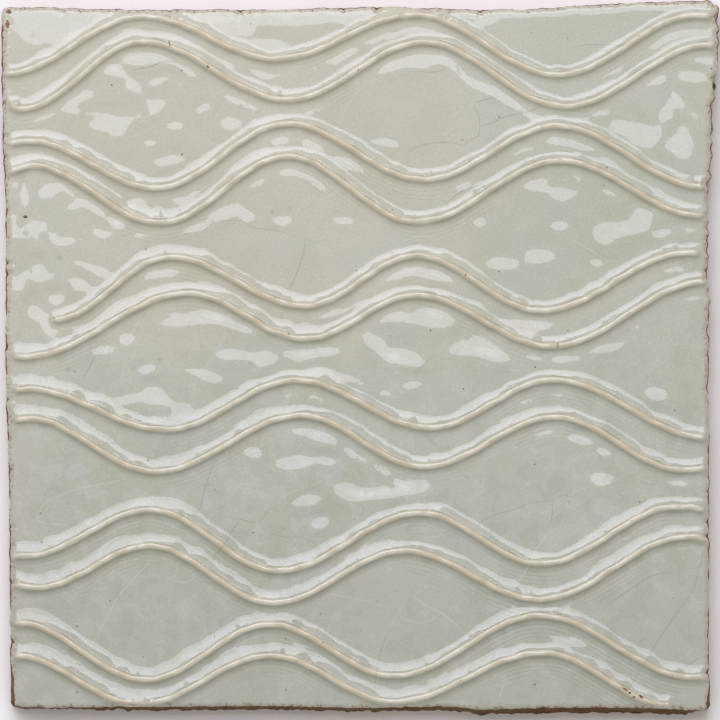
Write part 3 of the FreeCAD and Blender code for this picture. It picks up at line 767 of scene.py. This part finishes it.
# The back.
back_ring = wall_vertices[-1][:, :2]
grid = np.arange(-72.0, 73.0, 8.0)
back_inner = np.array([(a, b) for a in grid for b in grid])
back_points, back_faces, origin = filled(np.vstack([back_ring, back_inner]), count)
back_border = [new for new, old in enumerate(origin) if old and old[0] < count]
back_faces = within(back_points, back_faces, back_border, back_ring)
back_slot = {}
back_start = top_count + len(WALL_SHARES) * count
extra = []
for new, old in enumerate(origin):
    if old and old[0] < count:
        back_slot[new] = wall_rings[-1][old[0]]
    else:
        back_slot[new] = back_start + len(extra)
        extra.append((back_points[new][0], back_points[new][1], 0.0))
for face in back_faces:
    faces.append(tuple(back_slot[n] for n in reversed(face)))

everything = np.vstack([vertices] + wall_vertices + [np.array(extra)])
all_normals = np.vstack([normals] + wall_normals + [np.tile([0.0, 0.0, -1.0], (len(extra), 1))])
mesh = bpy.data.meshes.new("glazed_tile")
mesh.from_pydata((everything * MM).tolist(), [], [tuple(int(i) for i in f) for f in faces])
mesh.update()
tile = bpy.data.objects.new("glazed_tile", mesh)
bpy.context.collection.objects.link(tile)
mesh.polygons.foreach_set("use_smooth", [True] * len(mesh.polygons))
mesh.normals_split_custom_set_from_vertices(all_normals.tolist())

def bell(value, middle, half):
    return np.exp(-((value - middle) / half) ** 2)


# Values that the material reads at each point: the top of a rib, its dark fold and foot, which
# get painted shade and, at the foot, pooled glaze, how steeply it runs downhill, the distance
# below it and where the drag lines show, and how far inside the glaze the point is.
FAR = 9.0
x, y = everything[:, 0], everything[:, 1]
is_top = np.arange(len(everything)) < top_count
crest = np.zeros(len(everything))
pooled_and_shade = np.zeros(len(everything))
downhill = np.zeros(len(everything))
below = np.full(len(everything), FAR)
below_seen = np.zeros(len(everything))
for number in range(len(RIB_TURNS)):
    line_x, line_y, _ = RIB_LINES[number]
    close = is_top & (np.abs(y - np.interp(x, line_x, line_y)) < REACH)
    away, past, foot = rib_place(number, x[close], y[close])
    over = np.clip(past + 0.6, 0.0, None)
    reach = np.hypot(away + 0.08, over)
    crest[close] = np.maximum(crest[close], 1.0 - smooth(0.38, 0.80, reach))
    falling = smooth(0.1, 0.4, -np.interp(foot, line_x, RIB_LINES[number][2]))
    downhill[close] = np.where(reach < 1.6, falling, downhill[close])
    low_third = smooth(-20.0, -40.0, y[close])
    wide = np.hypot(away, over)
    soft = 0.45 + 0.25 * low_third
    # Painted shade below the rib, over the glaze pooled at its foot, and a painted dark line at the
    # fold above it.
    sheltered = 0.46 * bell(wide, 1.2 + 0.2 * low_third, soft) + 0.6 * bell(wide, 0.92, 0.14)
    shelf = np.interp(foot, line_x, UNEVEN[number][5])
    fold = np.clip(0.6 + 0.6 * shelf, 0.15, 1.5) * bell(wide, 0.60, 0.13)
    shade_here = np.where(away < 0, sheltered, fold)
    pooled_and_shade[close] = np.maximum(pooled_and_shade[close], shade_here)
    nearest = (away < 0) & (-away < below[close]) & (past < 0)
    spot = np.flatnonzero(close)[nearest]
    below[spot] = -away[nearest]
    seen = smooth(0.9, 1.6, -away) * (1.0 - smooth(3.6, 6.0, -away)) * (1.0 - smooth(-4.0, 0.0, past))
    plainer = smooth(15.0, 30.0, x[close]) * smooth(-40.0, -55.0, y[close])
    below_seen[spot] = (seen * (1.0 + 0.7 * plainer))[nearest]
inside, index = rim_place(x, y)
glaze_in = inside + around(ring_glaze, index)
for wall_ring, share in zip(wall_rings[1:], WALL_SHARES):
    glaze_in[wall_ring] = ring_run - vertices[border, 2] * share
glaze_in[back_start:] = -FAR
glaze_in = np.clip(glaze_in, -FAR, 3.0)


def crack_points(corners):
    """A smooth line through the corners, at close steps, with a slight wander."""
    p = np.array(corners, float)
    if len(p) < 3:
        p = np.vstack([p[0], p.mean(axis=0), p[-1]])
    padded = np.vstack([2 * p[0] - p[1], p, 2 * p[-1] - p[-2]])
    out = []
    for a, b, c, d in zip(padded, padded[1:], padded[2:], padded[3:]):
        count = max(2, int(np.linalg.norm(c - b) / 0.4))
        for t in np.arange(count) / count:
            out.append(0.5 * (2 * b + (c - a) * t + (2 * a - 5 * b + 4 * c - d) * t ** 2
                              + (3 * b - a - 3 * c + d) * t ** 3))
    out.append(p[-1])
    return np.array(out)


def crack_layers(lines, gap, fade):
    """Signed distance to the nearest line and how plain it is there, in layers whose lines
    keep well apart from one another."""
    source = np.random.default_rng(77)
    layers = []
    for corners in lines:
        line = crack_points(corners)
        plain = source.uniform(0.55, 1.0)
        for held, side, seen in layers:
            if all(np.linalg.norm(line[:, None] - other[None], axis=2).min() > gap
                   for other in held):
                break
        else:
            held, side, seen = [], np.full(len(everything), FAR), np.zeros(len(everything))
            layers.append((held, side, seen))
        held.append(line)
        close = is_top & (x > line[:, 0].min() - 2) & (x < line[:, 0].max() + 2)
        close &= (y > line[:, 1].min() - 2) & (y < line[:, 1].max() + 2)
        q = np.stack([x[close], y[close]], axis=1)
        a, ab = line[:-1], np.diff(line, axis=0)
        size = np.sum(ab ** 2, axis=1)
        t = np.clip(np.einsum("ijk,jk->ij", q[:, None] - a[None], ab) / size, 0, 1)
        off = q[:, None] - (a[None] + t[:, :, None] * ab[None])
        away = np.linalg.norm(off, axis=2)
        pick = np.argmin(away, axis=1)
        row = np.arange(len(q))
        turn = ab[pick, 0] * off[row, pick, 1] - ab[pick, 1] * off[row, pick, 0]
        along = np.concatenate([[0], np.cumsum(np.sqrt(size))])
        at = along[pick] + t[row, pick] * np.sqrt(size)[pick]
        here = plain * smooth(0, fade, at) * smooth(0, fade, along[-1] - at)
        here = here * (1.0 - smooth(0.9, 1.6, away[row, pick]))
        better = away[row, pick] < np.abs(side[close])
        spot = np.flatnonzero(close)[better]
        side[spot] = (np.sign(turn) * away[row, pick])[better]
        seen[spot] = here[better]
    return [(side, seen) for _, side, seen in layers]


values = [("crest", crest), ("pooled_and_shade", pooled_and_shade), ("below", below), ("below_seen", below_seen),
          ("glaze_in", glaze_in), ("downhill", downhill)]
LINE_GAP = 3.6
CRACK_FADE, PARTING_FADE = 1.5, 0.3
layers = crack_layers(CRACKS, LINE_GAP, CRACK_FADE)
for number, (side, seen) in enumerate(layers):
    values += [("crack_side_%d" % number, side), ("crack_seen_%d" % number, seen)]
(parting_side, parting_seen), = crack_layers(PARTINGS, LINE_GAP, PARTING_FADE)
values += [("parting_side", parting_side), ("parting_seen", parting_seen)]
for name, numbers in values:
    layer = mesh.attributes.new(name, "FLOAT", "POINT")
    layer.data.foreach_set("value", numbers.astype(np.float32))

# One flat map: the face and the back side by side, and the wall above them as four strips.
MARGIN = 0.005
SPAN = 156.0
FACE_SIZE, BACK_SIZE, BACK_LEFT = 0.74, 0.24, 0.755
STRIPS, STRIP_FOOT, STRIP_PITCH, STRIP_HEIGHT, STRIP_LENGTH = 4, 0.76, 0.058, 0.05, 0.97
uv = mesh.uv_layers.new(name="OFBake")
corner_vertex = np.zeros(len(mesh.loops), int)
mesh.loops.foreach_get("vertex_index", corner_vertex)
wall_first = len(faces) - len(back_faces) - 2 * count * len(WALL_SHARES)
back_first = len(faces) - len(back_faces)
across, up = x[corner_vertex], y[corner_vertex]
u = MARGIN + (across + SPAN / 2) / SPAN * FACE_SIZE
v = MARGIN + (up + SPAN / 2) / SPAN * FACE_SIZE
u[3 * back_first:] = BACK_LEFT + (SPAN / 2 - across[3 * back_first:]) / SPAN * BACK_SIZE
v[3 * back_first:] = MARGIN + (up[3 * back_first:] + SPAN / 2) / SPAN * BACK_SIZE
for f in range(wall_first, back_first):
    band, rest = divmod(f - wall_first, 2 * count)
    strip, place = divmod(rest // 2 * float(STRIPS) / count, 1.0)
    corners = ((0, 0), (1, 1), (1, 0)) if rest % 2 else ((0, 0), (0, 1), (1, 1))
    for c, (a, b) in enumerate(corners):
        u[3 * f + c] = MARGIN + (place + a * STRIPS / count) * STRIP_LENGTH
        v[3 * f + c] = STRIP_FOOT + strip * STRIP_PITCH
        v[3 * f + c] += STRIP_HEIGHT * (band + b) / len(WALL_SHARES)
uv.data.foreach_set("uv", np.column_stack([u, v]).astype(np.float32).ravel())

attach(tile, "root")
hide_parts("tile")


# Materials

class Nodes:
    """Short names for making shader nodes."""

    def __init__(self, material):
        material.use_nodes = True
        self.tree = material.node_tree
        self.tree.nodes.clear()

    def add(self, kind, **settings):
        node = self.tree.nodes.new(kind)
        for name, value in settings.items():
            setattr(node, name, value)
        return node

    def link(self, source, target):
        self.tree.links.new(source, target)

    def feed(self, socket, value):
        if isinstance(value, bpy.types.NodeSocket):
            self.link(value, socket)
        else:
            socket.default_value = value

    def math(self, operation, a, b=0.0, c=0.0):
        node = self.add("ShaderNodeMath", operation=operation)
        for socket, value in zip(node.inputs, (a, b, c)):
            self.feed(socket, value)
        return node.outputs[0]

    def times(self, a, b):
        return self.math("MULTIPLY", a, b)

    def ramp(self, value, low, high, to_low=0.0, to_high=1.0):
        node = self.add("ShaderNodeMapRange", interpolation_type="SMOOTHSTEP")
        for socket, item in zip(node.inputs, (value, low, high, to_low, to_high)):
            self.feed(socket, item)
        return node.outputs[0]

    def value(self, name):
        return self.add("ShaderNodeAttribute", attribute_name=name).outputs["Fac"]

    def mix(self, share, a, b):
        node = self.add("ShaderNodeMix", data_type="RGBA")
        for socket, value in zip((node.inputs["Factor"], node.inputs[6], node.inputs[7]),
                                 (share, a, b)):
            self.feed(socket, value)
        return node.outputs[2]

    def noise(self, place, scale, detail=3.0, roughness=0.5, output="Fac"):
        node = self.add("ShaderNodeTexNoise")
        self.link(place, node.inputs["Vector"])
        for name, value in (("Scale", scale), ("Detail", detail), ("Roughness", roughness)):
            node.inputs[name].default_value = value
        return node.outputs[output]

    def moved(self, place, across, up):
        node = self.add("ShaderNodeMapping")
        self.link(place, node.inputs["Vector"])
        node.inputs["Location"].default_value = (across, up, 0.0)
        return node.outputs["Vector"]

    def vector(self, operation, a, b):
        node = self.add("ShaderNodeVectorMath", operation=operation)
        self.feed(node.inputs[0], a)
        self.feed(node.inputs["Scale" if operation == "SCALE" else 1], b)
        return node.outputs[0]

    def surface(self, **values):
        """The finished surface, with these values in its shader's inputs."""
        shader = self.add("ShaderNodeBsdfPrincipled")
        for name, value in values.items():
            self.feed(shader.inputs[name.replace("_", " ")], value)
        output = self.add("ShaderNodeOutputMaterial")
        self.link(shader.outputs[0], output.inputs["Surface"])


def shade(r, g, b):
    """A colour given as it looks on a screen, as the light it stands for."""
    def one(c):
        c = c / 255.0
        return c / 12.92 if c <= 0.04045 else ((c + 0.055) / 1.055) ** 2.4
    return (one(r), one(g), one(b), 1.0)


def bent(n, place, scale, amount):
    """The place pushed about by a soft noise, so that what is drawn there wanders."""
    push = n.vector("SUBTRACT", n.noise(place, scale, 1.0, output="Color"), (0.5, 0.5, 0.5))
    return n.vector("ADD", place, n.vector("SCALE", push, amount))


def thin_line(n, side, seen, half):
    """A line where the signed distance is nothing, as wide as twice the half width in mm."""
    away = n.math("ABSOLUTE", n.value(side))
    return n.math("MULTIPLY", n.ramp(away, 0.0, half, 1.0, 0.0), n.value(seen))


def chip(n, place, x, y, length, width, turn):
    node = n.add("ShaderNodeMapping", vector_type="TEXTURE")
    n.link(place, node.inputs["Vector"])
    node.inputs["Location"].default_value = (x * MM, y * MM, 0.0)
    node.inputs["Rotation"].default_value = (0.0, 0.0, math.radians(turn))
    node.inputs["Scale"].default_value = (length * MM, width * MM, 1.0)
    size = n.add("ShaderNodeVectorMath", operation="LENGTH")
    n.link(node.outputs["Vector"], size.inputs[0])
    return n.ramp(size.outputs["Value"], 0.8, 1.1, 1.0, 0.0)


def glaze_material():
    material = bpy.data.materials.new("crackle_glaze")
    n = Nodes(material)
    place = n.add("ShaderNodeTexCoord").outputs["Object"]
    glaze_in = n.value("glaze_in")

    # Colour of the glaze: grey-green, with clouds, cool patches, soft blots, grain and pale specks.
    # Painted shade makes it darker and cooler toward the foot, painted light paler toward the top.
    axes = n.add("ShaderNodeSeparateXYZ")
    n.link(place, axes.inputs[0])
    across, up, high = axes.outputs
    cloud = n.ramp(n.noise(place, 55.0, 4.0, 0.55), 0.36, 0.66)
    field = n.mix(cloud, shade(186, 186, 165), shade(194, 192, 174))
    # Painted shade: the glaze darker and cooler toward the foot.
    lower = n.mix(cloud, shade(179, 179, 161), shade(186, 185, 168))
    field = n.mix(n.ramp(up, 0.02, -0.06), field, lower)
    fine = n.noise(place, 700.0, 3.0, 0.6)
    field = n.mix(n.ramp(fine, 0.45, 0.8, 0.0, 0.25), field, shade(172, 172, 155))
    patches = n.ramp(n.noise(n.moved(place, 0.2, 0.9), 62.0, 4.0, 0.6), 0.47, 0.58)
    patches = n.times(patches, n.ramp(up, 0.05, -0.03, 0.15, 0.6))
    field = n.mix(patches, field, shade(182, 184, 172))
    blots = n.noise(bent(n, n.moved(place, 0.4, 0.4), 260.0, 0.004), 230.0, 2.0)
    foot_side = n.ramp(up, 0.03, -0.03, 0.25, 1.0)
    paler_blot = n.times(n.ramp(blots, 0.57, 0.61, 0.0, 0.40), foot_side)
    field = n.mix(paler_blot, field, shade(198, 198, 188))
    darker_blot = n.times(n.ramp(blots, 0.42, 0.38, 0.0, 0.34), foot_side)
    field = n.mix(darker_blot, field, shade(166, 168, 148))
    # Painted light: the glaze paler toward the top.
    field = n.mix(n.ramp(up, 0.01, 0.08, 0.0, 0.35), field, shade(206, 204, 186))
    grain = n.noise(place, 2000.0, 3.0, 0.75)
    field = n.mix(n.ramp(grain, 0.34, 0.66, 0.0, 0.38), field, shade(168, 168, 146))
    specks = n.noise(n.moved(place, 0.5, 0.6), 2600.0, 2.0, 0.6)
    field = n.mix(n.ramp(specks, 0.56, 0.7, 0.0, 0.36), field, shade(216, 214, 200))
    # Painted light: the glaze paler and warmer toward the upper left.
    painted_light_upper_left = n.times(n.ramp(up, -0.03, 0.02), n.ramp(across, 0.06, -0.01, 0.0, 0.15))
    field = n.mix(painted_light_upper_left, field, shade(226, 214, 192))
    # Painted shade: the glaze darker still near the foot.
    field = n.mix(n.ramp(up, -0.035, -0.06, 0.0, 0.11), field, shade(150, 150, 138))

    # Thin glaze on the crests: cream and ruddier in places; tan downhill is painted shade.
    thin = n.mix(n.ramp(n.noise(place, 320.0), 0.34, 0.66), shade(215, 210, 189),
                 shade(198, 191, 167))
    ruddy = n.ramp(n.noise(n.moved(place, 0.3, 0.1), 75.0, 2.0), 0.55, 0.72, 0.0, 0.4)
    thin = n.mix(ruddy, thin, shade(208, 193, 168))
    thin = n.mix(n.times(n.value("downhill"), 0.6), thin, shade(198, 186, 158))
    colour = n.mix(n.value("crest"), field, thin)
    # Brown at fold and foot: painted shade, with the glaze pooled at the foot.
    colour = n.mix(n.times(n.value("pooled_and_shade"), 0.42), colour, shade(138, 131, 102))

    # Drag lines along the lower side of each rib.
    wander = n.times(n.noise(place, 90.0, 2.0), 1.6)
    stripes = n.math("PINGPONG", n.math("MULTIPLY_ADD", n.value("below"), 1.15, wander), 0.5)
    patchy = n.ramp(n.noise(n.moved(place, 0.7, 0.2), 60.0, 2.0), 0.42, 0.62, 0.0, 0.36)
    drag = n.times(n.ramp(stripes, 0.0, 0.13, 1.0, 0.0), n.value("below_seen"))
    colour = n.mix(n.times(drag, patchy), colour, shade(142, 138, 114))

    # Crackle, partings and pinholes.
    pale = n.ramp(n.noise(n.moved(place, 0.9, 0.4), 28.0, 1.0), 0.47, 0.53)
    crackle = 0.0
    for number in range(len(layers)):
        line = thin_line(n, "crack_side_%d" % number, "crack_seen_%d" % number, 0.17)
        crackle = n.math("MAXIMUM", line, crackle)
    crackle_colour = n.mix(pale, shade(134, 130, 108), shade(210, 209, 198))
    colour = n.mix(n.times(crackle, 0.58), colour, crackle_colour)
    parting = thin_line(n, "parting_side", "parting_seen", 0.18)
    colour = n.mix(n.times(parting, 0.8), colour, shade(86, 66, 50))
    holes = n.add("ShaderNodeTexVoronoi", feature="F1", voronoi_dimensions="2D")
    n.link(place, holes.inputs["Vector"])
    holes.inputs["Scale"].default_value = 1.0 / 0.0075
    chosen = n.add("ShaderNodeSeparateColor")
    n.link(holes.outputs["Color"], chosen.inputs[0])
    width = n.ramp(chosen.outputs[0], 0.72, 1.0, 0.0, 0.026)
    pinhole = n.math("LESS_THAN", holes.outputs["Distance"], width)
    colour = n.mix(n.times(pinhole, 0.75), colour, shade(96, 86, 68))

    # Near its edge the glaze is thinner and flecked with clay, on the lower right less so.
    lip = n.ramp(across, 0.068, 0.074, 0.9, 1.6)
    thinned = n.ramp(glaze_in, n.times(lip, 0.35), lip, 0.6, 0.0)
    colour = n.mix(thinned, colour, shade(186, 176, 156))
    flecks = n.ramp(n.noise(n.moved(place, 0.1, 0.8), 1300.0, 3.0, 0.6), 0.55, 0.63)
    flecks = n.times(flecks, n.ramp(glaze_in, 0.0, 1.3, 0.9, 0.0))
    elsewhere = n.math("MAXIMUM", n.ramp(up, -0.0715, -0.073), n.ramp(across, 0.072, 0.07))
    worn = n.math("MAXIMUM", n.ramp(up, -0.03, 0.02, 0.25, 1.0), elsewhere)
    colour = n.mix(n.times(flecks, worn), colour, shade(124, 90, 60))

    # Bare clay outside the glaze and in the chips.
    unsteady = n.math("SUBTRACT", n.noise(place, 1600.0, 4.0, 0.75), 0.5)
    reach = n.math("ADD", glaze_in, n.times(unsteady, 0.36))
    bare = n.ramp(reach, -0.05, 0.03, 1.0, 0.0)
    broken = bent(n, place, 1500.0, 0.0006)
    chips = 0.0
    for values in CHIPS:
        chips = n.math("MAXIMUM", chip(n, broken, *values), chips)
    gritty = n.noise(place, 700.0, 5.0, 0.7)
    clay = n.mix(n.ramp(gritty, 0.3, 0.7), shade(132, 86, 56), shade(180, 134, 96))
    speck = n.ramp(n.noise(place, 1700.0, 2.0), 0.6, 0.7, 0.0, 0.7)
    clay = n.mix(speck, clay, shade(60, 44, 36))
    # Painted shade: the clay just below the rim and low on the foot wall darkened nearly black, in
    # patches; the same noise spreads the tan clay.
    shade_and_tan_mottle = n.ramp(n.noise(place, 160.0), 0.35, 0.6)
    foot_wall = n.times(n.ramp(up, -0.0735, -0.0725, 1.0, 0.0), n.ramp(high, 0.0035, 0.0065))
    near_rim = n.math("MAXIMUM", n.ramp(high, 0.0070, 0.0086), foot_wall)
    painted_rim_shade = n.times(near_rim, n.math("MULTIPLY_ADD", shade_and_tan_mottle, 0.35, 0.62))
    clay = n.mix(painted_rim_shade, clay, shade(46, 30, 18))
    tan = n.times(n.times(n.ramp(reach, -1.4, -0.5), shade_and_tan_mottle), 0.5)
    clay = n.mix(tan, clay, shade(150, 116, 84))
    colour = n.mix(bare, colour, clay)
    broken_clay = n.mix(n.ramp(gritty, 0.4, 0.6), shade(58, 42, 34), shade(150, 112, 88))
    colour = n.mix(n.times(chips, 0.9), colour, broken_clay)
    bare = n.math("MAXIMUM", bare, chips)

    # Holes and partings dip, and bare clay is rough, dull and grainy.
    bump = n.add("ShaderNodeBump")
    bump.inputs["Distance"].default_value = 0.0003
    bump.inputs["Strength"].default_value = 1.0
    dip = n.math("MULTIPLY_ADD", parting, -0.4, n.times(pinhole, -0.6))
    rubble = n.times(n.times(gritty, bare), 1.6)
    n.link(n.math("ADD", dip, rubble), bump.inputs["Height"])
    n.surface(Base_Color=colour, Roughness=n.math("MULTIPLY_ADD", bare, 0.82, 0.035), IOR=1.5,
              Specular_IOR_Level=n.math("MULTIPLY_ADD", bare, -0.42, 0.5),
              Normal=bump.outputs[0])
    return material


tile.data.materials.append(glaze_material())


def plain_material(name, colour, roughness):
    material = bpy.data.materials.new(name)
    Nodes(material).surface(Base_Color=colour, Roughness=roughness)
    return material


# Floor, light and camera
bpy.ops.mesh.primitive_plane_add(size=8.0, location=(0, 0, 0))
floor = bpy.context.object
floor.name = "floor"
floor.data.materials.append(plain_material("floor_white", (0.93, 0.92, 0.88, 1.0), 0.8))


def area_light(name, place, size, target, radiance, tint=(1.0, 1.0, 1.0)):
    data = bpy.data.lights.new(name, "AREA")
    data.shape = "RECTANGLE"
    data.size, data.size_y = size
    data.energy = radiance * math.pi * size[0] * size[1]
    data.color = tint
    light = bpy.data.objects.new(name, data)
    light.location = place
    aim = Vector(target) - Vector(place)
    light.rotation_euler = aim.to_track_quat("-Z", "Y").to_euler()
    bpy.context.collection.objects.link(light)
    return light


# One large softbox beyond the tile's upper edge and to its left, dimmer at its near side.
LIGHT_LEFT, LIGHT_RIGHT, LIGHT_HEIGHT = -1.15, 0.50, 2.0
for part, near, far, radiance in (("near", 0.224, 0.60, 3.1), ("middle", 0.60, 1.30, 4.35),
                                  ("far", 1.30, 2.30, 5.1)):
    centre = ((LIGHT_LEFT + LIGHT_RIGHT) / 2, (near + far) / 2, LIGHT_HEIGHT)
    area_light("softbox_" + part, centre, (LIGHT_RIGHT - LIGHT_LEFT, far - near),
               (centre[0], centre[1], 0.0), radiance, (0.985, 0.98, 1.13))

world = bpy.data.worlds.new("room")
world.use_nodes = True
world.node_tree.nodes["Background"].inputs[0].default_value = (1.0, 1.0, 1.0, 1.0)
world.node_tree.nodes["Background"].inputs[1].default_value = 0.45
bpy.context.scene.world = world

LENS = 700.0
SENSOR = 36.0
PIXEL = 0.2125
camera_data = bpy.data.cameras.new("camera")
camera_data.lens = LENS
camera_data.sensor_width = SENSOR
camera = bpy.data.objects.new("camera", camera_data)
height = LENS / SENSOR * 720 * PIXEL + FACE
camera.location = (0.0, -2 * PIXEL * MM, height * MM)
bpy.context.collection.objects.link(camera)
bpy.context.scene.camera = camera
bpy.context.scene.view_settings.view_transform = "Standard"
